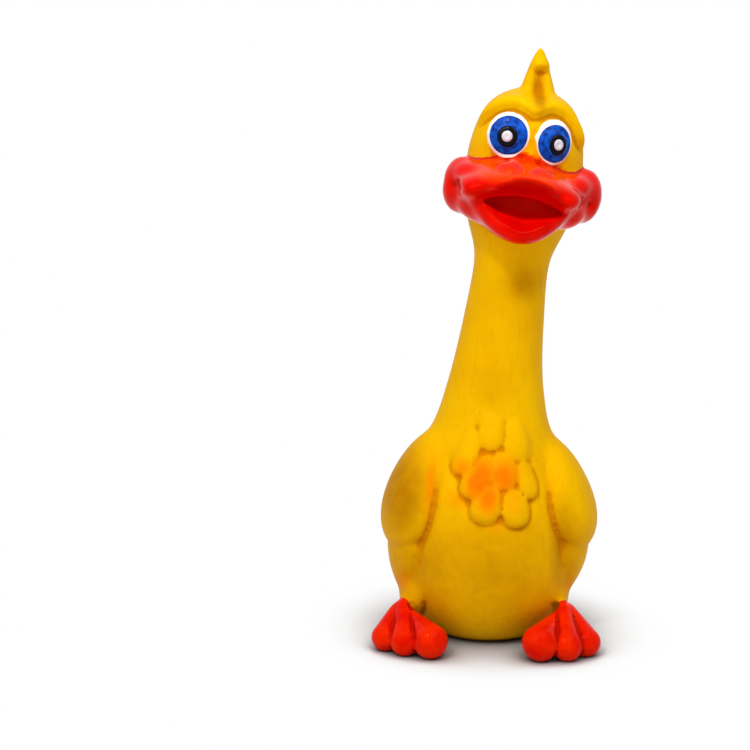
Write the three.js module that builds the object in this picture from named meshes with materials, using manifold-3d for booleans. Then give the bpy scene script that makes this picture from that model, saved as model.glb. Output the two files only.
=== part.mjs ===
// Squeaky latex duck for a dog: a hollow moulded skin with a painted bill, eyes and feet,
// and a reed squeaker pressed into its base. Millimetres, +Z up, the duck faces -Y.
import * as THREE from "three";
import { mergeVertices } from "three/addons/utils/BufferGeometryUtils.js";
import Module from "manifold-3d";

const wasm = await Module();
wasm.setup();

// Gap that pieces keep where they touch, and how far a cutter runs past what it cuts
const seatGap = 0.3;
const overrun = 4;

// Main sizes of the moulding. The neck leans to the duck's left, and the head leans with it
const torso = { height: 88, halfWidth: 41.5, front: 39.5, back: 34.5 };
const neck = { length: 84, halfWidth: 16.5, halfDepth: 16.5, lean: THREE.MathUtils.degToRad(6.6) };
const head = { height: 71.5, halfWidth: 25.6, front: 24, back: 23.4 };
const skin = { wall: 2.4, baseWall: 5 };

// Where in the torso the lean begins, and how much of the neck's length it takes to bend
const bendShares = { foot: 0.57, length: 0.95 };

// Each row: height, side, front and back, as shares of that section's own sizes
const torsoShares = [
  [0, 0.6, 0.6, 0.66],
  [0.035, 0.72, 0.74, 0.8],
  [0.136, 0.88, 0.9, 0.93],
  [0.318, 0.985, 0.99, 1],
  [0.51, 1, 1, 1],
  [0.705, 0.93, 0.91, 0.93],
  [0.864, 0.81, 0.77, 0.81],
];
const neckShares = [
  [0, 1.72, 1.5, 1.44],
  [0.12, 1.49, 1.28, 1.25],
  [0.286, 1.27, 1.13, 1.12],
  [0.5, 1.13, 1.05, 1.05],
  [0.714, 1.04, 1.01, 1.01],
  [0.893, 1, 1, 1.01],
];
const headShares = [
  [0, 0.69, 0.71, 0.75],
  [0.125, 0.83, 0.81, 0.84],
  [0.28, 0.96, 0.94, 0.95],
  [0.46, 1, 1, 1],
  [0.62, 0.98, 1, 1],
  [0.765, 0.895, 0.95, 0.93],
  [0.87, 0.765, 0.83, 0.81],
  [0.935, 0.58, 0.62, 0.62],
  [0.98, 0.33, 0.36, 0.36],
  [1, 0.1, 0.1, 0.1],
];

// Lobes of the moulding: a positive taper fattens the upper end, a negative one the lower end
const wing = { halfWidth: 17.5, halfDepth: 25, halfHeight: 28, proud: 8.2 };
const thigh = { halfWidth: 16, halfDepth: 26, halfHeight: 20, proud: 4 };
const tail = { halfWidth: 13, halfThickness: 7.5, halfLength: 17, proud: 12 };
const wingShares = { taper: -0.5, up: 0.73, forward: 0.14 };
const thighShares = { taper: 0.14, up: 0.36, forward: 0.12 };
const tailShares = { taper: -0.35, up: 0.3, tilt: 0.9 };

// A foot is three club-shaped toes that spread from one heel and come down to the floor
const toe = { tipRadius: 6.9, heelRadius: 5, flat: 0.5 };
const foot = { heelHeight: 19, out: 35.8, aside: 3.3, forward: 25, step: 2, reach: 21.5 };

// Each toe's tip: outwards and forwards from the heel, and its fatness
const toeShares = [
  [0.35, 0.53, 0.93],
  [-0.06, 0.85, 1],
  [-0.58, 0.98, 1.16],
];

// Chest feathers, row by row from the neck down: across and up as shares of the torso, and the tilt
const feather = { halfWidth: 6.8, halfLength: 12.2, halfThickness: 3.8, sunk: 1.3 };
const featherTaperShare = -0.24;
const featherShares = [
  [-0.31, 1.01, 0.3],
  [-0.07, 1.1, 0.05],
  [0.21, 1.06, -0.15],
  [-0.2, 0.89, 0.36],
  [0.08, 0.945, 0.03],
  [0.33, 0.885, -0.28],
  [-0.09, 0.765, 0.22],
  [0.22, 0.76, -0.12],
];

// Bill, in the head's own frame: heights are above the head's base
const upperBill = { halfWidth: 27, reach: 26, thick: 15, droop: 7.5, top: 44.5, tipTop: 37.5, aside: 3 };
const lowerBill = { halfWidth: 25, reach: 20, thick: 14, droop: -10, top: 17, tipTop: 18.5, aside: 1 };
const billShares = { root: 0.35, tipThick: 0.68, squareness: 3.2, minimum: 0.05 };
const cheek = { halfWidth: 8.6, halfDepth: 12, halfHeight: 13, out: 26, height: 28 };
const mouth = { halfWidth: 16, halfHeight: 7.6, depth: 6, height: 23.6, aside: 1.5 };

// Eyes, brow and tuft, in the head's own frame
const eye = { halfWidth: 8.9, halfHeight: 9.3, bulge: 3.6, apart: 19.4, aside: 0.8, height: 50.8 };
const eyeTilt = THREE.MathUtils.degToRad(8);
const iris = { lift: 0.9 };
const pupil = { lift: 0.9 };
const highlight = { lift: 0.8 };
const eyeShares = { iris: 0.89, pupil: 0.5, highlight: 0.29, drop: 0.04 };
const brow = { radius: 4.2, sunk: 1.8 };
const browShares = [
  [-0.98, 0.8],
  [-0.82, 0.885],
  [-0.42, 0.93],
  [0.02, 0.875],
  [0.42, 0.915],
  [0.8, 0.865],
  [0.96, 0.76],
];
const tuft = { halfWidth: 8.2, halfDepth: 7.6, height: 17, sunk: 5, curl: 3.4, aside: 0.6 };
const tuftShares = { fullness: 0.6, tip: 0.03, dentWidth: 0.36, dentDepth: 0.5, dentHeight: 0.36 };

// Squeaker: a flanged bush in the base holds the reed between a slotted plate and a wedge, under a cap
const bush = { flangeRadius: 12.2, flangeThick: 1.2, radius: 8.7, lipRadius: 10.6, lipHeight: 2, bore: 5.6 };
const spigot = { radius: 6.9, height: 3 };
const reedPlate = { recess: 1, tableLength: 13.5, slotWidth: 2.4, slotDepth: 2.6, slotEnd: 1.8 };
const reed = { width: 4.4, thick: 0.3, free: 11.5, root: 3, rake: THREE.MathUtils.degToRad(2.5) };
const cap = { wall: 1, height: 19, holeRadius: 1.3, holeDrop: 5 };
const capHoles = 6;

// How many facets go round and along each kind of form
const facets = { around: 30, along: 36, hollowAround: 18, hollowAlong: 24, lobe: 16, small: 12, turned: 20 };

function paint(name, color, roughness) {
  return new THREE.MeshStandardMaterial({ name, color, roughness, metalness: 0 });
}

const yellowLatex = paint("yellow_latex", 0xf0b400, 0.55);
const orangeLatex = paint("orange_latex", 0xf59a12, 0.55);
const redPaint = paint("red_paint", 0xf23a10, 0.25);
const darkRedPaint = paint("dark_red_paint", 0x9c0a04, 0.35);
const whitePaint = paint("white_paint", 0xf4f0ee, 0.3);
const bluePaint = paint("blue_paint", 0x1450b8, 0.2);
const blackPaint = paint("black_paint", 0x0b0b12, 0.2);
const whitePlastic = paint("white_plastic", 0xe9e6dc, 0.5);
const reedFilm = paint("reed_film", 0xd8d2b0, 0.3);

// Turns a closed geometry into a solid that can be cut and joined
function solidOf(geometry) {
  const bare = geometry.clone();
  bare.deleteAttribute("normal");
  bare.deleteAttribute("uv");
  const merged = mergeVertices(bare);
  const vertProperties = merged.attributes.position.array;
  const triVerts = new Uint32Array(merged.index.array);
  return new wasm.Manifold(new wasm.Mesh({ numProp: 3, vertProperties, triVerts }));
}

function geometryOf(solid) {
  const { vertProperties, triVerts } = solid.getMesh();
  const geometry = new THREE.BufferGeometry();
  geometry.setAttribute("position", new THREE.BufferAttribute(vertProperties, 3));
  geometry.setIndex(new THREE.BufferAttribute(triVerts, 1));
  geometry.computeVertexNormals();
  return geometry;
}

function piece(name, geometry, material) {
  const mesh = new THREE.Mesh(geometry, material);
  mesh.name = name;
  return mesh;
}

// The solid of a placed mesh, grown by the gap that its neighbours keep, in its parent's frame
function keepout(mesh, shape) {
  mesh.updateMatrix();
  return solidOf(shape(seatGap)).transform(mesh.matrix.elements);
}

// Cuts a placed mesh back from solids that are in its parent's frame
function seat(mesh, ...cutters) {
  mesh.updateMatrix();
  const home = mesh.matrix.clone().invert();
  let solid = solidOf(mesh.geometry);
  for (const cutter of cutters) {
    solid = solid.subtract(cutter.transform(home.elements));
  }
  mesh.geometry = geometryOf(solid);
  return mesh;
}

// Skins a stack of rings, each a list of points, and closes both ends with a fan
function loft(rings) {
  const around = rings[0].length;
  const points = rings.flat();
  const faces = [];
  for (let i = 0; i + 1 < rings.length; i++) {
    for (let j = 0; j < around; j++) {
      const low = i * around + j;
      const next = i * around + ((j + 1) % around);
      faces.push(low, next, next + around, low, next + around, low + around);
    }
  }
  const first = points.push(middleOf(rings[0])) - 1;
  const last = points.push(middleOf(rings.at(-1))) - 1;
  const top = (rings.length - 1) * around;
  for (let j = 0; j < around; j++) {
    const next = (j + 1) % around;
    faces.push(first, next, j, last, top + j, top + next);
  }
  const geometry = new THREE.BufferGeometry().setFromPoints(points);
  geometry.setIndex(faces);
  geometry.computeVertexNormals();
  return geometry;
}

function middleOf(ring) {
  return ring.reduce((sum, point) => sum.add(point), new THREE.Vector3()).divideScalar(ring.length);
}

// A closed ring of points: across is the half size along X and the other two go to -Y and +Y
function ovalRing(across, front, back, height, count) {
  return Array.from({ length: count }, (_, j) => {
    const angle = (2 * Math.PI * j) / count;
    const depth = Math.sin(angle) < 0 ? front : back;
    return new THREE.Vector3(across * Math.cos(angle), depth * Math.sin(angle), height);
  });
}

// Moves a closed skin along its own normals, outwards for a positive distance
function swell(geometry, distance) {
  const swollen = geometry.clone();
  const { position, normal } = swollen.attributes;
  const point = new THREE.Vector3();
  const outwards = new THREE.Vector3();
  for (let i = 0; i < position.count; i++) {
    outwards.fromBufferAttribute(normal, i);
    point.fromBufferAttribute(position, i).addScaledVector(outwards, distance);
    position.setXYZ(i, point.x, point.y, point.z);
  }
  swollen.computeVertexNormals();
  return swollen;
}

// An egg that stands on Z, grown all round by a gap
function egg(halfWidth, halfDepth, halfHeight, gap, taper = 0, detail = facets.lobe) {
  const rows = Math.round((detail * 2) / 3);
  const geometry = new THREE.SphereGeometry(1, detail, rows).rotateX(Math.PI / 2);
  const { position } = geometry.attributes;
  for (let i = 0; i < position.count; i++) {
    const fatness = 1 + taper * position.getZ(i);
    position.setXY(i, position.getX(i) * fatness, position.getY(i) * fatness);
  }
  return geometry.scale(halfWidth + gap, halfDepth + gap, halfHeight + gap);
}

// Revolves a profile of [radius, height] points about Z
function turned(profile, detail = facets.turned) {
  const points = profile.map(([radius, height]) => new THREE.Vector2(radius, height));
  return new THREE.LatheGeometry(points, detail).rotateX(Math.PI / 2);
}

// A block between two corners
function block(low, high) {
  const size = high.map((value, i) => value - low[i]);
  const middle = high.map((value, i) => (value + low[i]) / 2);
  return new THREE.BoxGeometry(...size).translate(...middle);
}

// The upright outline: side, front and back radii at each height from the floor to the crown
const neckBase = torso.height;
const headBase = torso.height + neck.length;
const outlineRows = [
  ...torsoShares.map(([up, side, front, back]) => [
    up * torso.height,
    side * torso.halfWidth,
    front * torso.front,
    back * torso.back,
  ]),
  ...neckShares.map(([up, side, front, back]) => [
    neckBase + up * neck.length,
    side * neck.halfWidth,
    front * neck.halfDepth,
    back * neck.halfDepth,
  ]),
  ...headShares.map(([up, side, front, back]) => [
    headBase + up * head.height,
    side * head.halfWidth,
    front * head.front,
    back * head.back,
  ]),
];
const [sideLine, frontLine, backLine] = [1, 2, 3].map(
  (column) => new THREE.SplineCurve(outlineRows.map((row) => new THREE.Vector2(row[column], row[0]))),
);

function outlineAt(along) {
  const side = sideLine.getPoint(along);
  const front = frontLine.getPoint(along).x;
  const back = backLine.getPoint(along).x;
  return { height: side.y, side: side.x, front, back };
}

// Finds the outline at one height by halving the stretch that holds it
function outlineAtHeight(height) {
  const halvings = 24;
  let low = 0;
  let high = 1;
  for (let i = 0; i < halvings; i++) {
    const middle = (low + high) / 2;
    if (outlineAt(middle).height < height) {
      low = middle;
    } else {
      high = middle;
    }
  }
  return outlineAt(low);
}

// A point on the torso's or head's front, and the direction that the surface faces there
function frontPoint(x, height) {
  const { side, front } = outlineAtHeight(height);
  const higher = outlineAtHeight(height + seatGap);
  const depth = front * Math.sqrt(Math.max(1 - (x / side) ** 2, 0));
  const higherDepth = higher.front * Math.sqrt(Math.max(1 - (x / higher.side) ** 2, 0));
  const rise = (higherDepth - depth) / seatGap;
  const sideways = (x * front ** 2) / (side ** 2 * depth);
  const facing = new THREE.Vector3(sideways, -1, -rise).normalize();
  return { point: new THREE.Vector3(x, -depth, height), facing };
}

function uprightSkin(around, along) {
  const rings = [];
  for (let i = 0; i <= along; i++) {
    const { height, side, front, back } = outlineAt(i / along);
    rings.push(ovalRing(side, front, back, height, around));
  }
  return loft(rings);
}

// The lean bends along an arc from the torso into the neck, and runs on straight from there
const bendFoot = bendShares.foot * torso.height;
const bendLength = bendShares.length * neck.length;
const bendRadius = bendLength / neck.lean;
const leanAxis = new THREE.Vector3(0, 1, 0);

function leanPoint(point) {
  const above = point.z - bendFoot;
  const along = THREE.MathUtils.clamp(above, 0, bendLength);
  const angle = along / bendRadius;
  const sideways = bendRadius * (1 - Math.cos(angle));
  const centre = new THREE.Vector3(sideways, 0, bendFoot + bendRadius * Math.sin(angle));
  return new THREE.Vector3(point.x, point.y, above - along).applyAxisAngle(leanAxis, angle).add(centre);
}

function leanGeometry(geometry) {
  const { position } = geometry.attributes;
  const point = new THREE.Vector3();
  for (let i = 0; i < position.count; i++) {
    const leant = leanPoint(point.fromBufferAttribute(position, i));
    position.setXYZ(i, leant.x, leant.y, leant.z);
  }
  geometry.computeVertexNormals();
  return geometry;
}

const outside = uprightSkin(facets.around, facets.along);
const outsideKeepout = solidOf(leanGeometry(swell(outside, seatGap)));
const headKeepout = solidOf(swell(outside, seatGap)).translate([0, 0, -headBase]);

// The moulded skin in three lengths: torso with the squeaker's hole, neck, and head
function makeSkins() {
  const hollow = solidOf(swell(uprightSkin(facets.hollowAround, facets.hollowAlong), -skin.wall));
  const hole = turned([
    [0, -overrun],
    [bush.flangeRadius + seatGap, -overrun],
    [bush.flangeRadius + seatGap, bush.flangeThick + 2 * seatGap],
    [bush.radius + seatGap, bush.flangeThick + 2 * seatGap],
    [bush.radius + seatGap, skin.baseWall + overrun],
    [0, skin.baseWall + overrun],
  ]);
  const shell = solidOf(outside)
    .subtract(hollow.trimByPlane([0, 0, 1], skin.baseWall))
    .subtract(solidOf(hole));
  const torsoShell = shell.trimByPlane([0, 0, -1], -neckBase);
  const neckShell = shell.trimByPlane([0, 0, 1], neckBase + seatGap).trimByPlane([0, 0, -1], -headBase);
  const headShell = shell.trimByPlane([0, 0, 1], headBase + seatGap);
  return [
    piece("torso_skin", leanGeometry(geometryOf(torsoShell)), yellowLatex),
    piece("neck_skin", leanGeometry(geometryOf(neckShell)), yellowLatex),
    piece("head_skin", leanGeometry(geometryOf(headShell)), yellowLatex),
  ];
}

// Side is 1 for the duck's left, which lies at +X, and -1 for its right
const sides = [-1, 1];

function sideName(side) {
  return side < 0 ? "right" : "left";
}

function makeWing(side) {
  const height = wingShares.up * torso.height;
  const flank = outlineAtHeight(height).side;
  const shape = (gap) => egg(wing.halfWidth, wing.halfDepth, wing.halfHeight, gap, wingShares.taper);
  const mesh = piece(`wing_${sideName(side)}`, shape(0), yellowLatex);
  const out = flank + wing.proud - wing.halfWidth;
  mesh.position.copy(leanPoint(new THREE.Vector3(side * out, -wingShares.forward * torso.front, height)));
  return { mesh, keepout: keepout(mesh, shape) };
}

function makeThigh(side) {
  const height = thighShares.up * torso.height;
  const flank = outlineAtHeight(height).side;
  const shape = (gap) => egg(thigh.halfWidth, thigh.halfDepth, thigh.halfHeight, gap, thighShares.taper);
  const mesh = piece(`thigh_${sideName(side)}`, shape(0), yellowLatex);
  const out = flank + thigh.proud - thigh.halfWidth;
  mesh.position.set(side * out, -thighShares.forward * torso.front, height);
  return { mesh, keepout: keepout(mesh, shape) };
}

function makeTail() {
  const height = tailShares.up * torso.height;
  const { back } = outlineAtHeight(height);
  const { halfWidth, halfThickness, halfLength, proud } = tail;
  const mesh = piece("tail", egg(halfWidth, halfThickness, halfLength, 0, tailShares.taper), yellowLatex);
  mesh.position.set(0, back + proud - halfLength, height);
  mesh.rotation.x = -tailShares.tilt;
  return mesh;
}

// One toe is a turned club that hangs from its heel at the origin, along -Z, to its fat tip
function toeShape(tipRadius, length) {
  const steps = 3;
  const profile = [];
  const addEnd = (radius, height, first) => {
    for (let i = 0; i <= steps; i++) {
      const angle = first + (i / steps) * (Math.PI / 2);
      profile.push([radius * Math.cos(angle), height + radius * Math.sin(angle)]);
    }
  };
  addEnd(tipRadius, -length, -Math.PI / 2);
  addEnd(toe.heelRadius, 0, 0);
  profile[0][0] = 0;
  profile.at(-1)[0] = 0;
  return turned(profile, facets.small);
}

function makeFoot(side) {
  const down = new THREE.Vector3(0, 0, -1);
  const heel = new THREE.Vector3(0, 0, foot.heelHeight);
  const toes = toeShares.map(([outwards, forwards, fatness]) => {
    const tipRadius = fatness * toe.tipRadius;
    const tipHeight = tipRadius - toe.flat;
    const tip = new THREE.Vector3(side * outwards * foot.reach, -forwards * foot.reach, tipHeight);
    const run = tip.sub(heel);
    const turn = new THREE.Quaternion().setFromUnitVectors(down, run.clone().normalize());
    return solidOf(toeShape(tipRadius, run.length()).applyQuaternion(turn));
  });
  const joined = toes[0].add(toes[1]).add(toes[2]).translate([0, 0, foot.heelHeight]);
  const mesh = piece(`foot_${sideName(side)}`, geometryOf(joined.trimByPlane([0, 0, 1], 0)), redPaint);
  mesh.position.set(side * foot.out - foot.aside, -foot.forward - side * foot.step, 0);
  return mesh;
}

// Each feather lies over the ones below it, so it is cut by those above it
function makeFeathers(cutters) {
  const placed = [];
  featherShares.forEach(([across, up, tilt], i) => {
    const { point, facing } = frontPoint(across * torso.front, up * torso.height);
    const shape = (gap) => {
      const { halfWidth, halfThickness, halfLength } = feather;
      return egg(halfWidth, halfThickness, halfLength, gap, featherTaperShare, facets.small);
    };
    const mesh = piece(`chest_feather_${i + 1}`, shape(0), orangeLatex);
    mesh.position.copy(leanPoint(point)).addScaledVector(facing, -feather.sunk);
    mesh.quaternion.setFromUnitVectors(new THREE.Vector3(0, -1, 0), facing);
    mesh.rotateY(-tilt);
    placed.push({ mesh, keepout: keepout(mesh, shape) });
  });
  return placed.map(({ mesh }, i) => {
    const above = placed.slice(0, i).map((other) => other.keepout);
    return seat(mesh, ...cutters, ...above);
  });
}

// A bill half is a stack of flattened rings along -Y; its corners hang lower by its droop
function billShape(half, gap) {
  const steps = 12;
  const root = -billShares.root * head.front;
  const tip = -head.front - half.reach;
  const rings = [];
  for (let i = 0; i <= steps; i++) {
    const along = i / steps;
    const rounding = Math.max(Math.sqrt(1 - along ** billShares.squareness), billShares.minimum);
    const thick = half.thick * THREE.MathUtils.lerp(1, billShares.tipThick, along) * Math.sqrt(rounding);
    const top = THREE.MathUtils.lerp(half.top, half.tipTop, along);
    const y = THREE.MathUtils.lerp(root, tip, along) - (i < steps ? 0 : gap);
    const ring = [];
    for (let j = 0; j < 2 * facets.small; j++) {
      const angle = (Math.PI * j) / facets.small;
      const across = Math.cos(angle) * rounding;
      const middle = top - thick / 2 - half.droop * across ** 2;
      const x = across * half.halfWidth + gap * Math.cos(angle) - half.aside;
      ring.push(new THREE.Vector3(x, y, middle + (thick / 2 + gap) * Math.sin(angle)));
    }
    rings.push(ring);
  }
  return loft(rings);
}

function makeBill() {
  const upperShape = (gap) => billShape(upperBill, gap);
  const lowerShape = (gap) => billShape(lowerBill, gap);
  const upper = piece("bill_upper", upperShape(0), redPaint);
  const lower = piece("bill_lower", lowerShape(0), redPaint);
  const upperKeepout = keepout(upper, upperShape);
  const lowerKeepout = keepout(lower, lowerShape);
  const cheeks = sides.map((side) => {
    const lobe = egg(cheek.halfWidth, cheek.halfDepth, cheek.halfHeight, 0, 0, facets.small);
    const mesh = piece(`cheek_${sideName(side)}`, lobe, redPaint);
    mesh.position.set(side * cheek.out, -billShares.root * head.front, cheek.height);
    return seat(mesh, headKeepout, upperKeepout, lowerKeepout);
  });
  const liningShape = egg(mouth.halfWidth, mouth.depth, mouth.halfHeight, 0, 0, facets.small);
  const lining = piece("mouth_lining", liningShape, darkRedPaint);
  lining.position.set(-mouth.aside, -head.front, mouth.height);
  seat(lining, headKeepout, upperKeepout, lowerKeepout);
  seat(lower, headKeepout, upperKeepout);
  seat(upper, headKeepout);
  return { pieces: [upper, lower, ...cheeks, lining], upperKeepout };
}

// The brow runs over both eyes on the head's front, sunk in by part of its radius
function makeBrow() {
  const points = browShares.map(([across, up]) => {
    const height = headBase + up * head.height;
    const { point, facing } = frontPoint(across * outlineAtHeight(height).side, height);
    return point.addScaledVector(facing, -brow.sunk).setZ(point.z - headBase);
  });
  const extrudePath = new THREE.CatmullRomCurve3(points);
  const steps = facets.turned;
  const curveSegments = facets.small / 2;
  const shape = (gap) => {
    const section = new THREE.Shape().absarc(0, 0, brow.radius + gap, 0, 2 * Math.PI);
    return new THREE.ExtrudeGeometry(section, { steps, curveSegments, extrudePath, bevelEnabled: false });
  };
  const mesh = piece("brow_ridge", shape(0), yellowLatex);
  const own = keepout(mesh, shape);
  return { mesh: seat(mesh, headKeepout), keepout: own };
}

// One eye is four painted domes, each standing on the one behind it
function makeEye(side, cutters) {
  const { point, facing } = frontPoint((side * eye.apart) / 2 - eye.aside, headBase + eye.height);
  const group = new THREE.Group();
  group.position.copy(point).setZ(eye.height);
  group.quaternion.setFromUnitVectors(new THREE.Vector3(0, -1, 0), facing);
  group.rotateY(side * eyeTilt);
  group.updateMatrix();
  const home = group.matrix.clone().invert().elements;
  const behind = cutters.map((cutter) => cutter.transform(home));
  const pupilLift = iris.lift + pupil.lift;
  const layers = [
    ["eye_white", 1, 0, 0, whitePaint],
    ["iris", eyeShares.iris, iris.lift, 0, bluePaint],
    ["pupil", eyeShares.pupil, pupilLift, eyeShares.drop, blackPaint],
    ["highlight", eyeShares.highlight, pupilLift + highlight.lift, eyeShares.drop, whitePaint],
  ];
  for (const [name, share, lift, drop, material] of layers) {
    const shape = (gap) => egg(eye.halfWidth * share, eye.bulge, eye.halfHeight * share, gap, 0, facets.lobe);
    const mesh = piece(`${name}_${sideName(side)}`, shape(0), material);
    mesh.position.set(0, -lift, -drop * eye.halfHeight);
    const own = keepout(mesh, shape);
    group.add(seat(mesh, ...behind));
    behind.push(own);
  }
  return group;
}

// The tuft narrows and curls forward, over a dent in its front
function makeTuft() {
  const steps = 10;
  const base = head.height - tuft.sunk;
  const rings = [];
  for (let i = 0; i <= steps; i++) {
    const along = i / steps;
    const narrow = (1 - along) ** tuftShares.fullness + tuftShares.tip;
    const depth = tuft.halfDepth * narrow;
    const height = base + along * (tuft.height + tuft.sunk);
    const shift = new THREE.Vector3(tuft.aside, -tuft.curl * along ** 2, 0);
    const ring = ovalRing(tuft.halfWidth * narrow, depth, depth, height, facets.small);
    rings.push(ring.map((point) => point.add(shift)));
  }
  const dentWidth = tuftShares.dentWidth * tuft.halfWidth;
  const dentDepth = tuftShares.dentDepth * tuft.halfDepth;
  const dentHeight = tuftShares.dentHeight * tuft.height;
  const dent = solidOf(egg(dentWidth, dentDepth, dentHeight, 0, 0, facets.small));
  const dentPlace = [tuft.aside, -tuft.halfDepth, head.height + dentHeight];
  return seat(piece("tuft", loft(rings), yellowLatex), headKeepout, dent.translate(dentPlace));
}

// Heights and radii in the squeaker, from the floor up
const bushFoot = seatGap;
const lipFoot = skin.baseWall + seatGap;
const lipTop = lipFoot + bush.lipHeight;
const bushTop = lipTop + spigot.height;
const capRadius = spigot.radius + seatGap + cap.wall;
const clampGap = reed.thick / 2 + seatGap;

function makeBush() {
  const flangeTop = bushFoot + bush.flangeThick;
  return turned([
    [bush.bore, bushFoot],
    [bush.flangeRadius, bushFoot],
    [bush.flangeRadius, flangeTop],
    [bush.radius, flangeTop],
    [bush.radius, lipFoot],
    [bush.lipRadius, lipFoot],
    [capRadius, lipTop],
    [spigot.radius, lipTop],
    [spigot.radius, bushTop],
    [bush.bore, bushTop],
    [bush.bore, bushFoot],
  ]);
}

// A round bar that fills the bush's bore, from the foot of the plate up to a given height
function boreBar(top) {
  const radius = bush.bore - seatGap;
  const foot = bushFoot + reedPlate.recess;
  const bar = new THREE.CylinderGeometry(radius, radius, top - foot, facets.turned);
  return solidOf(bar.rotateX(Math.PI / 2).translate(0, 0, (top + foot) / 2));
}

// The half bar behind the reed: its flat face is the reed's table, slotted for the air
function makeReedPlate() {
  const top = bushTop + reedPlate.tableLength;
  const slotLow = [-reedPlate.slotWidth / 2, clampGap - overrun, -overrun];
  const slotHigh = [reedPlate.slotWidth / 2, clampGap + reedPlate.slotDepth, top - reedPlate.slotEnd];
  const bar = boreBar(top).trimByPlane([0, 1, 0], clampGap);
  return geometryOf(bar.subtract(solidOf(block(slotLow, slotHigh))));
}

// The half bar that clamps the reed, with a pocket for the reed's root
function makeReedWedge() {
  const bar = boreBar(bushTop).trimByPlane([0, -1, 0], seatGap - clampGap);
  const pocketHalf = reed.width / 2 + seatGap;
  const pocketLow = [-pocketHalf, -clampGap, bushTop - reed.root - seatGap];
  const pocketHigh = [pocketHalf, overrun, bushTop + overrun];
  return geometryOf(bar.subtract(solidOf(block(pocketLow, pocketHigh))));
}

function makeCap() {
  const innerRadius = spigot.radius + seatGap;
  const foot = lipTop + seatGap;
  const top = foot + cap.height;
  const holeLength = capRadius + overrun;
  const holeShape = new THREE.CylinderGeometry(cap.holeRadius, cap.holeRadius, holeLength, facets.small);
  const hole = solidOf(holeShape.translate(0, holeLength / 2, top - cap.holeDrop));
  let thimble = solidOf(
    turned([
      [innerRadius, foot],
      [capRadius, foot],
      [capRadius, top],
      [0, top],
      [0, top - cap.wall],
      [innerRadius, top - cap.wall],
      [innerRadius, foot],
    ]),
  );
  for (let i = 0; i < capHoles; i++) {
    thimble = thimble.subtract(hole.rotate([0, 0, (i * 360) / capHoles]));
  }
  return geometryOf(thimble);
}

// The reed is hinged where it leaves its clamp, and stands a little open over the slot
function makeReed() {
  const low = [-reed.width / 2, -reed.thick / 2, -reed.root];
  const high = [reed.width / 2, reed.thick / 2, reed.free];
  const mesh = piece("squeaker_reed", block(low, high), reedFilm);
  mesh.position.z = bushTop;
  mesh.rotation.x = reed.rake;
  return mesh;
}

// The torso's lobes: each is cut by the skin and by the larger lobes
const toy = new THREE.Group();
const wings = sides.map(makeWing);
const thighs = sides.map(makeThigh);
const wingKeepouts = wings.map((lobe) => lobe.keepout);
const thighKeepouts = thighs.map((lobe) => lobe.keepout);
toy.add(...makeSkins());
toy.add(...wings.map(({ mesh }) => seat(mesh, outsideKeepout)));
toy.add(...thighs.map(({ mesh }) => seat(mesh, outsideKeepout, ...wingKeepouts)));
toy.add(seat(makeTail(), outsideKeepout));
toy.add(...sides.map((side) => seat(makeFoot(side), outsideKeepout, ...thighKeepouts)));
toy.add(...makeFeathers([outsideKeepout, ...wingKeepouts]));

const face = new THREE.Group();
face.position.copy(leanPoint(new THREE.Vector3(0, 0, headBase)));
face.rotation.y = neck.lean;
const bill = makeBill();
const browRidge = makeBrow();
face.add(...bill.pieces, browRidge.mesh, makeTuft());
face.add(...sides.map((side) => makeEye(side, [headKeepout, bill.upperKeepout, browRidge.keepout])));
toy.add(face);

toy.add(
  piece("squeaker_bush", makeBush(), whitePlastic),
  piece("reed_plate", makeReedPlate(), whitePlastic),
  piece("reed_wedge", makeReedWedge(), whitePlastic),
  piece("squeaker_cap", makeCap(), whitePlastic),
  makeReed(),
);

// The origin is on the floor, under the middle of the toy
const extent = new THREE.Box3().setFromObject(toy, true);
const middle = extent.getCenter(new THREE.Vector3());
toy.position.set(-middle.x, -middle.y, -extent.min.z);

export default toy;
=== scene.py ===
import bpy
import math
import numpy as np
from mathutils import Euler, Matrix, Vector
from mathutils.bvhtree import BVHTree


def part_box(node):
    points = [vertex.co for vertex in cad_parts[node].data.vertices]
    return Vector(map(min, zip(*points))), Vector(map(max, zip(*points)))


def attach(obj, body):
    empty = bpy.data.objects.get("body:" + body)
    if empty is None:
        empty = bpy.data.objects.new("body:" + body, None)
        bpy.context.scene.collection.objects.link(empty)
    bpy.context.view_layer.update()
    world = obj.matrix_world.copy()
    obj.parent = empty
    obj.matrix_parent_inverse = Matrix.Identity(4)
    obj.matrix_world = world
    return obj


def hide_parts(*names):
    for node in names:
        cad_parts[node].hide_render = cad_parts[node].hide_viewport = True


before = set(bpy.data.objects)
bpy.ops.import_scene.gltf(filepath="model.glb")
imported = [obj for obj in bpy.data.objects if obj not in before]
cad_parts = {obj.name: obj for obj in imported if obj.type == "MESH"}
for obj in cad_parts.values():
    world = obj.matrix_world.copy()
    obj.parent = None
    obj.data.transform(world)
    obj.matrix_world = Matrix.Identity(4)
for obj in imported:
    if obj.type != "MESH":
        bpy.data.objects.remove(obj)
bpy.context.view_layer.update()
bushLow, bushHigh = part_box("squeaker_bush")
duckAxis = (bushLow + bushHigh) / 2 * 1000  # the duck's upright axis, in mm
duckAxis.z = 0

# The duck is modelled upright in mm, facing -Y, and leant over to its left when it is finished
lean = {"footHeight": 50.16, "bendLength": 79.8, "angle": math.radians(6.6)}
headBase = 172  # height of the head's base while the neck is upright
rounded = {"levels": 2, "render_levels": 2}  # how finely coarse shapes are subdivided
sides = ("right", "left")
viewRise = 0.2126  # seen from 12 degrees above, a place 1 mm further forwards looks this much lower
faceForward = 24  # how far forward of the duck's axis the face is


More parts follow.
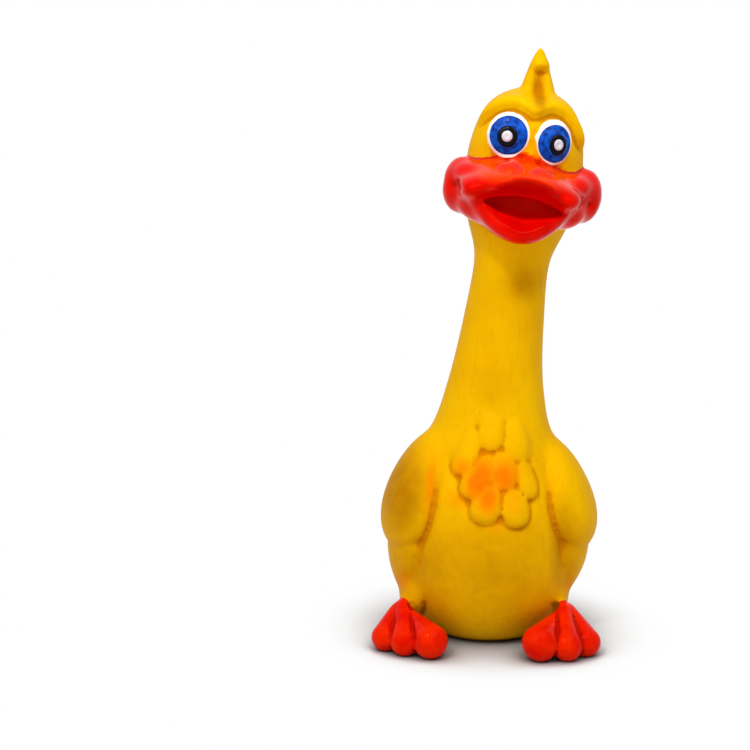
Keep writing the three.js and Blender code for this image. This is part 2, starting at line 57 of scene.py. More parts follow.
def hexColour(code, alpha=1):
    values = [int(code[i:i + 2], 16) / 255 for i in (0, 2, 4)]
    linear = [v / 12.92 if v <= 0.04045 else ((v + 0.055) / 1.055) ** 2.4 for v in values]
    return (*linear, alpha)


def addNode(tree, kind, settings=None, links=None):
    node = tree.nodes.new("ShaderNode" + kind)
    for name, value in (settings or {}).items():
        if isinstance(name, str) and hasattr(node, name):
            setattr(node, name, value)
        else:
            node.inputs[name].default_value = value
    for name, source in (links or {}).items():
        if hasattr(source, "outputs"):
            source = next(socket for socket in source.outputs if socket.enabled)
        tree.links.new(source, node.inputs[name])
    return node


def startClean():
    if bpy.context.object and bpy.context.object.mode != "OBJECT":
        bpy.ops.object.mode_set(mode="OBJECT")
    bpy.ops.object.select_all(action="DESELECT")


def pick(piece):
    startClean()
    piece.select_set(True)
    bpy.context.view_layer.objects.active = piece


def applyModifier(piece, kind, **settings):
    pick(piece)
    modifier = piece.modifiers.new(kind.title(), kind)
    for name, value in settings.items():
        setattr(modifier, name, value)
    bpy.ops.object.modifier_apply(modifier=modifier.name)


def startEdit(action="SELECT"):
    bpy.ops.object.mode_set(mode="EDIT")
    bpy.ops.mesh.select_all(action=action)


def endEdit():
    bpy.ops.mesh.select_all(action="SELECT")
    bpy.ops.mesh.normals_make_consistent(inside=False)
    bpy.ops.object.mode_set(mode="OBJECT")


def joinPieces(pieces, name):
    startClean()
    for piece in pieces:
        piece.select_set(True)
    bpy.context.view_layer.objects.active = pieces[0]
    bpy.ops.object.join()
    pieces[0].name = name
    return pieces[0]


def valuesOf(items, field, width=3, kind=float):
    values = np.empty(len(items) * width, dtype=kind)
    items.foreach_get(field, values)
    return values.reshape(-1, width)


def placesOf(mesh):
    return valuesOf(mesh.vertices, "co")


def setPlaces(mesh, places):
    mesh.vertices.foreach_set("co", places.reshape(-1))
    mesh.update()


def treeOf(*pieces):
    points, faces = [], []
    for piece in pieces:
        first = len(points)
        points += [v.co.copy() for v in piece.data.vertices]
        faces += [[first + i for i in face.vertices] for face in piece.data.polygons]
    return BVHTree.FromPolygons(points, faces)


def smoothStep(low, high, values):
    share = np.clip((values - low) / (high - low), 0, 1)
    return share * share * (3 - 2 * share)


# A lobe is a sphere that is fattened or thinned towards its top, then sized, turned and put in place
def addLobe(name, centre, size, turn=(0, 0, 0), taper=0, square=2):
    startClean()
    bpy.ops.mesh.primitive_uv_sphere_add(segments=40, ring_count=24, radius=1)
    lobe = bpy.context.object
    lobe.name = name
    for vertex in lobe.data.vertices:
        fatness = 1 + taper * vertex.co.z
        rim = math.hypot(vertex.co.x, vertex.co.z)
        if square > 2 and rim > 0:
            spread = rim / (abs(vertex.co.x) ** square + abs(vertex.co.z) ** square) ** (1 / square)
            vertex.co.x *= spread
            vertex.co.z *= spread
        vertex.co.x *= fatness
        vertex.co.y *= fatness
    lobe.scale = size
    lobe.rotation_euler = Euler([math.radians(angle) for angle in turn])
    lobe.location = centre
    bpy.ops.object.transform_apply()
    return lobe


# A club is a sphere whose upper half is pulled away from the lower one and made thinner
def addClub(name, tip, heel, tipRadius, heelRadius):
    startClean()
    bpy.ops.mesh.primitive_uv_sphere_add(segments=32, ring_count=24, radius=tipRadius)
    club = bpy.context.object
    club.name = name
    run = Vector(heel) - Vector(tip)
    startEdit("DESELECT")
    bpy.ops.object.mode_set(mode="OBJECT")
    for vertex in club.data.vertices:
        vertex.select = vertex.co.z > 0.1
    bpy.ops.object.mode_set(mode="EDIT")
    share = heelRadius / tipRadius
    bpy.ops.transform.resize(value=(share, share, share), center_override=(0, 0, 0))
    bpy.ops.transform.translate(value=(0, 0, run.length))
    bpy.ops.mesh.select_all(action="SELECT")
    bpy.ops.object.mode_set(mode="OBJECT")
    club.rotation_mode = "QUATERNION"
    club.rotation_quaternion = Vector((0, 0, 1)).rotation_difference(run.normalized())
    club.location = tip
    bpy.ops.object.transform_apply()
    return club


# A tube starts as a circle that is extruded ring by ring, and each ring is then drawn to its own outline
def addTube(name, rings):
    count = len(rings[0])
    startClean()
    bpy.ops.mesh.primitive_circle_add(vertices=count, radius=1, fill_type="NOTHING")
    tube = bpy.context.object
    tube.name = name
    startEdit()
    for _ in rings[1:]:
        bpy.ops.mesh.extrude_region_move(TRANSFORM_OT_translate={"value": (0, 0, 1)})
    bpy.ops.object.mode_set(mode="OBJECT")
    order = sorted(tube.data.vertices, key=lambda v: (round(v.co.z), math.atan2(v.co.y, v.co.x) % math.tau))
    for i, vertex in enumerate(order):
        vertex.co = rings[i // count][i % count]
    startEdit()
    bpy.ops.mesh.region_to_loop()
    bpy.ops.mesh.edge_face_add()
    endEdit()
    return tube


# The body, neck and head are one tall loft, extruded ring by ring
core = {
    "around": 48,
    # height, half width, front depth, back depth
    "rows": [
        (0, 24.9, 23.7, 22.8), (3.1, 29.9, 29.2, 27.6), (12, 36.5, 35.6, 32.1), (28, 40.9, 39.1, 34.5),
        (45, 41.5, 39.5, 34.5), (62, 38.6, 35.9, 32.1), (76, 33.6, 30.4, 27.9), (88, 28.4, 24.8, 23.8),
        (98, 24.6, 21.1, 20.6), (112, 21, 18.6, 18.5), (130, 18.6, 17.3, 17.3), (148, 17.2, 16.7, 16.7),
        (163, 16, 16.2, 16.5), (172, 16.8, 16.6, 17.3), (181, 20.7, 19.2, 19.6), (192, 24.6, 22.6, 22.2),
        (205, 25.6, 24, 23.4), (216.3, 25.1, 24, 23.4), (226.7, 22.9, 22.8, 21.8), (234.2, 19.6, 19.9, 19),
        (238.9, 14.8, 14.9, 14.5), (242, 8.4, 8.6, 8.4), (243.4, 2.6, 2.4, 2.3),
    ],
    "baseRings": (0.5, 0.94),  # the floor's face has two rings, as shares of the first row
    "wall": 2.4,
    "lowWall": 5.5,  # thicker up to lowTop
    "lowTop": 40,
}


# Extrudes the chosen ring to each row's height, half width, front depth and back depth. The ring that it
# starts from is given as height, half width, half depth and how far back its middle is
def loftRows(start, rows):
    before = start
    for height, side, front, back in rows:
        depth, middle = (front + back) / 2, (back - front) / 2
        move = (0, middle - before[3], height - before[0])
        bpy.ops.mesh.extrude_region_move(TRANSFORM_OT_translate={"value": move})
        grow = (side / before[1], depth / before[2], 1)
        bpy.ops.transform.resize(value=grow, center_override=(0, middle, height))
        before = (height, side, depth, middle)


def makeCore():
    height, side, front, back = core["rows"][0]
    inner, outer = core["baseRings"]
    start = (height, side * inner, (front + back) / 2 * inner, (back - front) / 2)
    startClean()
    bpy.ops.mesh.primitive_circle_add(vertices=core["around"], radius=1, fill_type="NGON")
    body = bpy.context.object
    body.name = "core"
    startEdit()
    bpy.ops.transform.resize(value=(start[1], start[2], 1))
    bpy.ops.transform.translate(value=(0, start[3], 0))
    loftRows(start, [(0, side * outer, front * outer, back * outer), *core["rows"]])
    endEdit()
    applyModifier(body, "SUBSURF", **rounded)
    return body


print("core")
bodyCore = makeCore()
coreTree = treeOf(bodyCore)


# Where a line from well in front of the duck meets its skin
def onFront(x, height):
    place, normal, _, _ = coreTree.ray_cast(Vector((x, -120, height)), Vector((0, 1, 0)))
    return place, normal


# Wings, thighs, shanks and tail are lobes on the flanks
flank = {
    "wing_right": {"size": (14.3, 22.5, 28), "centre": (-31.5, -6, 64), "turn": (0, 13, 0), "taper": -0.3},
    "wing_left": {"size": (14.3, 22.5, 28), "centre": (31.5, -6, 64), "turn": (0, -13, 0), "taper": -0.3},
    "thigh_right": {"size": (12.4, 22, 24), "centre": (-33, -4, 38.5), "turn": (0, 4.5, 0), "taper": 0.2},
    "thigh_left": {"size": (12.4, 22, 24), "centre": (32.2, -4, 37.5), "turn": (0, 4.5, 0), "taper": 0.2},
    "shank_right": {"size": (6.8, 14.5, 10.5), "centre": (-33.4, -12, 18.4), "turn": (-20, 0, 0), "taper": 0},
    "shank_left": {"size": (6.4, 13.5, 9.5), "centre": (29.4, -13, 18.6), "turn": (-20, 0, 0), "taper": 0},
    "tail": {"size": (13, 7.5, 17), "centre": (0, 29, 26.4), "turn": (-52, 0, 0), "taper": -0.35},
}
print("flank lobes")
lobes = [addLobe(name, **settings) for name, settings in flank.items()]

# Chest feathers are puffy petals that overlap downwards
feathers = {
    "thickness": 4.5,
    "sunk": 2.3,
    "shingle": 12,  # degrees that each petal's tip stands off the chest
    "square": 2.5,  # above 2 squares up the petal's outline
    "taper": -0.12,
    # middle of the petal across and up, half width, half length, lean in degrees
    "petals": [
        (-10.2, 90, 6, 15.4, 17), (-1.5, 97.6, 6.4, 11.6, 2), (8.3, 94.8, 7, 13.8, -9),
        (-5.3, 79.6, 6.8, 14.2, 24), (4.6, 83, 6.8, 13.2, 2), (12.3, 80, 5.3, 13.6, -16),
        (-1.9, 70.4, 7.2, 13.6, 13), (8.7, 69.2, 6.7, 13.8, -7),
    ],
}


def addPetal(across, height, halfWidth, halfLength, leanAngle):
    place, normal = onFront(across, height)
    size = (halfWidth, feathers["thickness"], halfLength)
    lobe = addLobe("petal", (0, 0, 0), size, taper=feathers["taper"], square=feathers["square"])
    facing = Vector((0, -1, 0)).rotation_difference(normal).to_matrix()
    tilt = Matrix.Rotation(math.radians(leanAngle), 3, "Y")
    shingle = Matrix.Rotation(math.radians(-feathers["shingle"]), 3, "X")
    lobe.data.transform((facing @ tilt @ shingle).to_4x4())
    lobe.data.transform(Matrix.Translation(place - normal * feathers["sunk"]))
    return lobe


print("chest feathers")
petals = [addPetal(*petal) for petal in feathers["petals"]]

# Each foot has three toes, from the heel under the thigh to a fat tip on the floor
feet = {
    "heelRadius": 2.8,
    "sink": 0.6,
    # tip across, forwards and radius, then its heel across, forwards and up
    "right": [(-46.4, 34, 6.3, -40.4, 22, 16), (-38, 40, 6.6, -38.9, 24.5, 16.8),
              (-27, 43.3, 7.8, -35.8, 26.5, 13.4)],
    "left": [(20.5, 46.3, 8.2, 29.4, 29.5, 13.4), (32, 46.3, 6.8, 32.2, 28.5, 16.8),
             (40.8, 40.8, 6.5, 34, 26, 16.2)],
}
print("feet")
toes = []
for side in sides:
    for x, forward, radius, heelX, heelForward, heelHeight in feet[side]:
        tip = (x, -forward, radius - feet["sink"])
        toes.append(addClub("toe", tip, (heelX, -heelForward, heelHeight), radius, feet["heelRadius"]))

# The bill is two halves with cheeks, lips, jaws and bridges between them
bill = {
    "steps": 14,
    "around": 40,
    "upper": {"halfWidth": 26, "root": -8, "tip": -51, "thick": 15, "tipThick": 10.6, "top": 45,
              "tipTop": 38.4, "droop": 7.5, "aside": -3, "squareness": 2.8},
    "lower": {"halfWidth": 25, "root": -8, "tip": -47.5, "thick": 11.5, "tipThick": 12.6, "top": 18,
              "tipTop": 19.6, "droop": -14, "aside": -2, "squareness": 2.6},
    "fullness": 0.78,  # below 1 squares up each ring's section
    "leastRing": 0.06,  # share of its width that the ring at the tip keeps
    "edgeThinning": 0.4,  # below 1 keeps the tip thick
    "cheeks": [{"centre": (-26.6, -8, 27), "size": (8.6, 12, 13)},
               {"centre": (26, -8, 28), "size": (8.6, 12, 12.6)}],
    "lips": [{"centre": (-23.4, -30, 28.6), "size": (7, 13, 5.4)},
             {"centre": (16.4, -32, 28.2), "size": (7, 13, 5.2)}],
    "jaws": [{"centre": (-21, -17, 19.5), "size": (9, 13, 6), "turn": (0, 30, 0)},
             {"centre": (19, -17, 20), "size": (9, 13, 6), "turn": (0, -26, 0)}],
    "bridges": [{"centre": (-23.5, -15, 33), "size": (8.5, 13, 5.5)},
                {"centre": (20.5, -16, 32.5), "size": (8.5, 13, 5.5)}],
    "filler": {"centre": (-3, -19, 22), "size": (23, 24, 13)},
    "voxel": 0.8,
    "middle": -2.5,  # where the bill's middle is across, and how often its joints are rubbed down
    "blendTimes": 90,
    # the open mouth: where its rim runs, across and up, first along the top and then along the bottom
    "rimTop": [(-24.5, 26), (-19.4, 27.9), (-14.5, 31.8), (-10.4, 34.7), (-4.9, 36.8), (2.8, 37), (8.8, 35.4),
               (15, 31.2), (18.5, 26.5), (20.5, 23)],
    "rimBottom": [(-24.5, 26), (-22, 22.4), (-13.9, 17), (-6, 14.4), (0.3, 14.2), (7.4, 16.4), (14.4, 19.4),
                  (18.5, 21.6), (20.5, 23)],
    "throatTop": [(-20.5, 24.4), (-18.6, 24.9), (-12.3, 27), (-5.4, 28.2), (4.3, 27.3), (12.6, 24.3),
                  (17.6, 21.6)],
    "throatBottom": [(-20.5, 24.4), (-11.4, 20.4), (-1.2, 18.4), (7.3, 19.6), (17.6, 21.6)],
    "mouthAround": 48,
    "mouthLow": 9, "mouthSpan": 28, "mouthMiddle": 23,  # heights above the head's base
    "rimForward": (50.5, 46), "throatForward": (41, 38.5),  # at the mouth's top and at its bottom
    "cutForward": 12,  # how far in front of the rim the cut starts
    "paintForward": 1.5,  # and how far in front of the throat its paint does
    "backRings": [(31.5, 0.96), (29.5, 0.8)],  # how far forward, and size as a share of the throat's
}


def addBillHalf(name):
    half = bill[name]
    rings = []
    for step in range(bill["steps"] + 1):
        along = math.sin(step / bill["steps"] * math.pi / 2)
        rounding = max((1 - along ** half["squareness"]) ** 0.5, bill["leastRing"])
        fullThick = half["thick"] + (half["tipThick"] - half["thick"]) * along
        thick = fullThick * rounding ** bill["edgeThinning"]
        centre = half["top"] + (half["tipTop"] - half["top"]) * along - fullThick / 2
        y = half["root"] + (half["tip"] - half["root"]) * along
        ring = []
        for j in range(bill["around"]):
            angle = math.tau * j / bill["around"]
            across = math.cos(angle) * rounding
            middle = centre - half["droop"] * across ** 2
            x = across * half["halfWidth"] + half["aside"]
            rise = math.copysign(abs(math.sin(angle)) ** bill["fullness"], math.sin(angle))
            ring.append(Vector((x, y, headBase + middle + thick / 2 * rise)))
        rings.append(ring)
    piece = addTube(name, rings)
    applyModifier(piece, "SUBSURF", **rounded)
    return piece


def addFaceLobe(name, settings):
    x, y, z = settings["centre"]
    return addLobe(name, (x, y, z + headBase), settings["size"], settings.get("turn", (0, 0, 0)))


# The mouth's hollow is a tube with the outline of the lips, which narrows from its rim back into the throat
def lipOutline(top, bottom, forwardTop, forwardBottom, grow=1.0):
    left, right = top[0][0], top[-1][0]
    middle, reach = (left + right) / 2, (right - left) / 2
    centre = bill["mouthMiddle"]
    ring = []
    for j in range(bill["mouthAround"]):
        angle = math.tau * (j + 0.5) / bill["mouthAround"]
        x = middle + reach * math.cos(angle)
        height = float(np.interp(x, *zip(*(top if math.sin(angle) > 0 else bottom))))
        share = (height - bill["mouthLow"]) / bill["mouthSpan"]
        forward = forwardBottom + (forwardTop - forwardBottom) * share
        z = headBase + centre + (height - centre) * grow
        ring.append(Vector((middle + (x - middle) * grow, -forward, z)))
    return ring


def ahead(ring, gap):
    return [place + Vector((0, -gap, 0)) for place in ring]


def makeThroat(withRim):
    outline = (bill["throatTop"], bill["throatBottom"])
    throat = lipOutline(*outline, *bill["throatForward"])
    rings = [ahead(throat, bill["paintForward"])]
    if withRim:
        rim = lipOutline(bill["rimTop"], bill["rimBottom"], *bill["rimForward"])
        rings = [ahead(rim, bill["cutForward"]), rim, throat]
    rings += [lipOutline(*outline, forward, forward, grow) for forward, grow in bill["backRings"]]
    return addTube("throat", rings)


def rubDown(piece, name, weights, times):
    group = piece.vertex_groups.new(name=name)
    for i in np.nonzero(weights > 0.01)[0]:
        group.add([int(i)], float(weights[i]), "REPLACE")
    applyModifier(piece, "SMOOTH", factor=0.6, iterations=times, vertex_group=name)
    piece.vertex_groups.remove(piece.vertex_groups[name])


def makeBill():
    parts = [addBillHalf("upper"), addBillHalf("lower"), addFaceLobe("filler", bill["filler"])]
    for name in ("cheek", "lip", "jaw", "bridge"):
        parts += [addFaceLobe(name, settings) for settings in bill[name + "s"]]
    whole = joinPieces(parts, "bill")
    applyModifier(whole, "REMESH", mode="VOXEL", voxel_size=bill["voxel"])
    outwards = np.abs(placesOf(whole.data)[:, 0] - bill["middle"])
    rubDown(whole, "blend", 0.7 + 0.3 * smoothStep(7, 15, outwards), bill["blendTimes"])
    throat = makeThroat(withRim=True)
    applyModifier(whole, "BOOLEAN", operation="DIFFERENCE", object=throat, solver="EXACT")
    bpy.data.objects.remove(throat)
    return whole


def treeOfThroat(withRim):
    throat = makeThroat(withRim)
    tree = treeOf(throat)
    bpy.data.objects.remove(throat)
    return tree


print("bill")
openBill = makeBill()
lipTree = treeOfThroat(withRim=True)
throatTree = treeOfThroat(withRim=False)

# The tuft on the crown is a cone that curls forwards
tuft = {
    "around": 24, "steps": 12,
    "halfWidth": 8.3, "halfDepth": 7.8, "base": 66.5, "tip": 88.6,
    "curl": 3.4, "forward": 0.5, "aside": 1.7, "lean": -1.6,
    "slimming": 0.72,  # below 1 makes the cone's sides bulge
    "blunt": 0.03,
}


def makeTuft():
    rings = []
    for step in range(tuft["steps"] + 1):
        along = step / tuft["steps"]
        narrow = (1 - along) ** tuft["slimming"] + tuft["blunt"]
        height = headBase + tuft["base"] + along * (tuft["tip"] - tuft["base"])
        x = tuft["aside"] + tuft["lean"] * along
        y = -tuft["curl"] * along ** 2 - tuft["forward"]
        halfWidth, halfDepth = tuft["halfWidth"] * narrow, tuft["halfDepth"] * narrow
        angles = [math.tau * j / tuft["around"] for j in range(tuft["around"])]
        rings.append([Vector((x + halfWidth * math.cos(angle), y + halfDepth * math.sin(angle), height))
                      for angle in angles])
    return addTube("tuft", rings)


print("tuft")
crownTuft = makeTuft()

# Where the eyes sit on the head, and the white bulge under each
eyes = {
    # half the iris across and up, then half the white across and up and how far it sits aside and higher
    "right": {"x": -10.1, "height": 50.9, "yaw": -15, "pitch": -6, "half": (8.8, 9),
              "white": (9.1, 9.6, -0.3, 0.4)},
    "left": {"x": 9, "height": 49.8, "yaw": 21, "pitch": -6, "half": (8, 8.8),
             "white": (8.1, 9.5, 0.2, 0.6)},
    "bulge": 3.4,
    "whiteOver": 0.2,  # the bulge is this much wider than its paint
}


def eyeMatrix(side):
    eye = eyes[side]
    place, _ = onFront(eye["x"], headBase + eye["height"])
    turn = Euler((math.radians(eye["pitch"]), 0, math.radians(eye["yaw"]))).to_matrix().to_4x4()
    return Matrix.Translation(place) @ turn


print("eye whites")
whites = []
for side in sides:
    halfWidth, halfHeight, aside, higher = eyes[side]["white"]
    over = eyes["whiteOver"]
    white = addLobe("white", (aside, 0, higher), (halfWidth + over, eyes["bulge"], halfHeight + over))
    white.data.transform(eyeMatrix(side))
    whites.append(white)

# All of it is one continuous moulding: joined, remeshed and softened
moulding = {"voxel": 0.92, "soften": 2}
print("joining the moulding")
headTree = treeOf(bodyCore, crownTuft)
billTree = treeOf(openBill)
bodyTree = treeOf(bodyCore, *lobes)
toeTree = treeOf(*toes)
whiteTree = treeOf(*whites)
latex = joinPieces([bodyCore, crownTuft, openBill, *lobes, *petals, *toes, *whites], "latex_moulding")
applyModifier(latex, "REMESH", mode="VOXEL", voxel_size=moulding["voxel"], use_smooth_shade=True)
applyModifier(latex, "SMOOTH", factor=0.5, iterations=moulding["soften"])
print("moulding points", len(latex.data.vertices))

# The joints between lobes are rubbed down. Each fade goes from none to full along one measure, in mm
rubs = {
    "shoulders": {"times": 120, "fades": [("height", 79, 91), ("height", 108, 98), ("out", 13, 19)]},
    "flanks": {"times": 5, "fades": [("out", 18, 24), ("height", 19, 24), ("height", 100, 90)]},
    "ankles": {"times": 40, "fades": [("out", 22, 27), ("height", 14, 18), ("height", 31, 25)]},
    "jowls": {"times": 8, "fades": [("faceOut", 15, 20), ("headHeight", 6, 12), ("headHeight", 46, 40),
                                    ("back", 6, -2)]},
}
places = placesOf(latex.data)
measures = {"out": np.abs(places[:, 0]), "faceOut": np.abs(places[:, 0] + 1), "back": places[:, 1],
            "height": places[:, 2], "headHeight": places[:, 2] - headBase}
behindToes = smoothStep(-25, -21, measures["back"])
overToes = smoothStep(17.5, 20, measures["height"]) * smoothStep(-31, -27, measures["back"])
for name, rub in rubs.items():
    fades = [smoothStep(low, high, measures[measure]) for measure, low, high in rub["fades"]]
    weights = np.prod(fades, axis=0)
    if name == "ankles":
        weights *= np.maximum(behindToes, overToes)
    rubDown(latex, name, weights, rub["times"])

# Sculpted detail is moved along the surface's own normals
detail = {
    "browEdge": [(-27, 50), (-23.3, 55.6), (-20.6, 58), (-16.5, 62), (-10, 64), (-5.6, 62.9), (-1, 59.8),
                 (0.8, 59.2), (2.3, 60.6), (4.9, 63), (9.1, 63.6), (14, 61.6), (17.6, 57), (22, 50)],
    "browSpread": (-2.4, -1.2, 0, 1.2, 2.4),  # the edge's corners are rounded over these steps
    "browHeight": 3.3,
    "browFade": 5,
    "socketDepth": 1.2,
    "socketFade": 6,
    # middle across and up, radius, depth
    "dimples": [((-31, 27.8), 2.6, 1.9), ((28.8, 25.6), 2.4, 1.6)],
    # both ends, across and up
    "nostrils": [((3.2, 42.4), (9.2, 39.4)), ((-15.6, 39.8), (-9.6, 42.4))],
    "nostrilForward": 30,
    "nostrilDepth": 0.6,
    "nostrilWidth": 1.1,
    "scoop": {"x": 1.5, "low": 64, "high": 80, "halfWidth": 4.3, "narrow": 0.8, "depth": 2.9, "sink": 1.2,
              "hood": 0.8, "hoodUp": 1.6, "hoodFade": 1.8},
    # how much deeper grooves are cut, from which depth on
    "groove": {"from": 0.05, "feet": 5, "chest": 0.8},
    "softGroove": {"from": 0.025, "chest": 3, "flank": 6},
    "creaseGain": 2.2,
    "flatFlank": 2,
    "floorSnap": 0.45,  # what is lower than this lies flat on the floor
}


# The skin's points, their normals and edges, and where each point is: across, up, forwards, above the head's
# base, and above it as the camera sees it
def readSkin():
    mesh = latex.data
    points, normals = placesOf(mesh), valuesOf(mesh.vertex_normals, "vector")
    edges = valuesOf(mesh.edges, "vertices", 2, np.int32)
    across, backwards, up = points.T
    overBase = up - headBase
    overSeen = overBase - viewRise * (-backwards - faceForward)
    return points, normals, edges, across, up, -backwards, overBase, overSeen


print("sculpting")
places, normals, edges, x, z, forward, headHeight, seenHeight = readSkin()
move = np.zeros(len(places))

# The brow stands out above its edge, and the sockets sink under it
browLine = list(zip(*detail["browEdge"]))
edge = sum(np.interp(x + shift, *browLine) for shift in detail["browSpread"]) / len(detail["browSpread"])
above = seenHeight - edge
facing = smoothStep(2, 12, forward) * smoothStep(0, 0.4, -normals[:, 1]) * smoothStep(27, 20, np.abs(x + 1))
facing *= (headHeight > 40)
browFade = np.exp(-(np.clip(above - 2, 0, 40) / detail["browFade"]) ** 2)
brow = detail["browHeight"] * smoothStep(-0.9, 2, above) * browFade
socket = detail["socketDepth"] * np.exp(-np.clip(-above, 0, 40) / detail["socketFade"]) * (above < 0.2)
move += facing * (brow - socket)

# The dimples in the cheeks
for (middleX, middleZ), radius, depth in detail["dimples"]:
    spread = ((x - middleX) ** 2 + (headHeight - middleZ) ** 2) / radius ** 2
    move -= depth * np.exp(-spread) * (forward > 0)

# The nostrils, short slots beside the bill's ridge
for (x0, z0), (x1, z1) in detail["nostrils"]:
    seen = headHeight - viewRise * (forward - detail["nostrilForward"])
    run = np.array([x1 - x0, z1 - z0])
    share = np.clip(((x - x0) * run[0] + (seen - z0) * run[1]) / (run @ run), 0, 1)
    gap = np.hypot(x - x0 - share * run[0], seen - z0 - share * run[1])
    slot = np.exp(-(gap / detail["nostrilWidth"]) ** 2)
    move -= detail["nostrilDepth"] * slot * (forward > 18) * (normals[:, 2] > 0.2)

# The scoop in the front of the tuft, with a hood over it
scoop = detail["scoop"]
along = (headHeight - scoop["low"]) / (scoop["high"] - scoop["low"])
shape = smoothStep(0, 0.5, along) * smoothStep(1.06, 0.84, along)
scoopWidth = scoop["halfWidth"] - scoop["narrow"] * np.clip(along, 0, 1)
scoopSide = np.exp(-((x - scoop["x"]) / scoopWidth) ** 2) * smoothStep(0.2, -0.2, normals[:, 1])
scoopSide *= (headHeight > 62)
hoodShape = np.exp(-((headHeight - scoop["high"] - scoop["hoodUp"]) / scoop["hoodFade"]) ** 2)
move -= scoop["sink"] * shape * scoopSide
move += scoop["hood"] * hoodShape * scoopSide


def spreadOut(values, times):
    size = len(values)
    first, second = edges.T
    degree = np.maximum(np.bincount(edges.ravel(), minlength=size), 1)
    for _ in range(times):
        total = np.bincount(first, values[second], size) + np.bincount(second, values[first], size)
        values = 0.5 * values + 0.5 * total / degree
    return values


# How far each point lies in a groove, from -1 on a ridge to 1
def creaseOf(places, normals):
    around = np.stack([spreadOut(places[:, k], 6) for k in range(3)], axis=1)
    dip = ((around - places) * normals).sum(axis=1)
    return spreadOut(np.clip(dip * detail["creaseGain"], -1, 1), 2)


# Grooves between lobes are cut a little deeper
groove = spreadOut(creaseOf(places, normals), 2)
softGroove = spreadOut(groove, 7)
onFeet = smoothStep(25, 17, z) * (forward > 12)
onChest = ((z > 50) & (forward > 12) & (np.abs(x) < 22)) * smoothStep(112, 104, z)
onFlank = (np.abs(x) > 20) * smoothStep(30, 38, z) * smoothStep(88, 62, z)
sharp, soft = detail["groove"], detail["softGroove"]
move -= np.clip(groove - sharp["from"], 0, 1) * (sharp["feet"] * onFeet + sharp["chest"] * onChest)
move -= np.clip(softGroove - soft["from"], 0, 1) * (soft["flank"] * onFlank + soft["chest"] * onChest)

# The scoop goes straight back, and the left flank is a little flatter than the right one
places = places + normals * move[:, None]
places[:, 1] += scoop["depth"] * shape * scoopSide
flatter = smoothStep(34, 20, z) * smoothStep(18, 34, x) * smoothStep(16, 8, forward)
places[:, 0] -= detail["flatFlank"] * flatter
places[:, 2] = np.where(places[:, 2] < detail["floorSnap"], 0, places[:, 2])
setPlaces(latex.data, places)
applyModifier(latex, "SMOOTH", factor=0.4, iterations=1)

# The hole in the base, and the hollow inside
hollow = {"recessRadius": 12.5, "recessHeight": 1.8, "holeRadius": 9, "baseWall": 5.3, "top": 240}


def openBase():
    recess, hole = hollow["recessRadius"], hollow["holeRadius"]
    pick(latex)
    for vertex in latex.data.vertices:
        vertex.select = False
    inRecess = [v.co.z < 0.5 and v.co.xy.length < recess + 0.4 for v in latex.data.vertices]
    for face in latex.data.polygons:
        face.select = all(inRecess[i] for i in face.vertices)
    bpy.ops.object.mode_set(mode="EDIT")
    bpy.ops.mesh.select_mode(type="FACE")
    bpy.ops.mesh.delete(type="FACE")
    bpy.ops.mesh.select_mode(type="VERT")
    bpy.ops.mesh.select_all(action="DESELECT")
    bpy.ops.mesh.select_non_manifold()
    bpy.ops.object.mode_set(mode="OBJECT")
    rim = [v for v in latex.data.vertices if v.select]
    print("rim points", len(rim))
    for vertex in rim:
        flat = vertex.co.xy.normalized() * recess
        vertex.co = (flat.x, flat.y, 0)
    bpy.ops.object.mode_set(mode="EDIT")
    inside = [(hollow["recessHeight"], recess, recess, recess), (hollow["recessHeight"], hole, hole, hole),
              (hollow["baseWall"], hole, hole, hole)]
    for height, sideways, front, back in core["rows"][2:-1]:
        wall = core["wall"] if height > core["lowTop"] else core["lowWall"]
        inside.append((min(height, hollow["top"]), sideways - wall, front - wall, back - wall))
    loftRows((0, recess, recess, 0), inside)
    bpy.ops.mesh.merge(type="CENTER")
    endEdit()


openBase()

# Paint regions, one value a point: how far it is inside the region's edge, in mm, or how strong the spray or
# the painted shade is
paint = {
    # where the red ends on the face, across and up, as seen from the camera's height
    "billTop": [(-34, 39.5), (-31.5, 38.9), (-25.4, 37.5), (-17.6, 39.2), (-10.7, 42.1), (-3.9, 44.6),
                (2.3, 42.8), (7.7, 40.5), (12.7, 38.1), (20.3, 38.5), (23.5, 40.2), (34, 41)],
    "throatEdge": 1.2, "whiteEdge": 1.1,  # how far paint reaches beyond the form it belongs to
    "eyeCorner": {"size": 0.45, "up": 2.2, "fade": 1.2},
    # strength of the painted shade along the grooves of the flanks
    "flankGrooveShade": 1.6,
    "outside": -5,  # the value well outside a region
    # orange airbrush, and painted shade in ochre on a wing, the flanks, belly and neck, under the chin and in
    # the tuft's scoop: across, height, half width, half height, lean in degrees, strength
    "airbrush": [(-27.6, 70, 2.8, 12, 2, 0.55), (-6.5, 76, 6, 10, 20, 1), (4, 78, 7, 8, 0, 0.9),
                 (-2.5, 69, 6, 8, 12, 0.8), (-14, 80, 5, 6, 16, 0.6), (8, 68, 6, 9, 0, 0.35),
                 (-39, 26, 5, 7, 0, 0.45), (35.5, 24, 4, 6, 0, 0.45), (-15.5, 67, 7, 5, 0, 0.42),
                 (1, 57, 7, 5, 0, 0.3), (-4, 90, 8, 7, 0, 0.22)],
    "paintedShade": [(-39, 66, 11, 19, 12, 0.9), (5, 160, 9, 10, 0, 0.6), (-30, 36, 22, 30, 0, 0.55),
              (31, 46, 8, 26, 0, 0.7), (0, 36, 40, 32, 0, 0.5), (-3, 112, 12, 14, 0, 0.3),
              (1.4, 241.5, 3, 7.5, -6, 1)],
}
print("paint masks")
places, normals, edges, x, z, forward, headHeight, seenHeight = readSkin()
count = len(places)
outside = paint["outside"]


def distanceTo(tree, chosen, farthest=50.0):
    gaps = np.full(count, farthest)
    for i in np.nonzero(chosen)[0]:
        place, _, _, gap = tree.find_nearest(Vector(places[i]), farthest)
        gaps[i] = farthest if place is None else gap
    return gaps


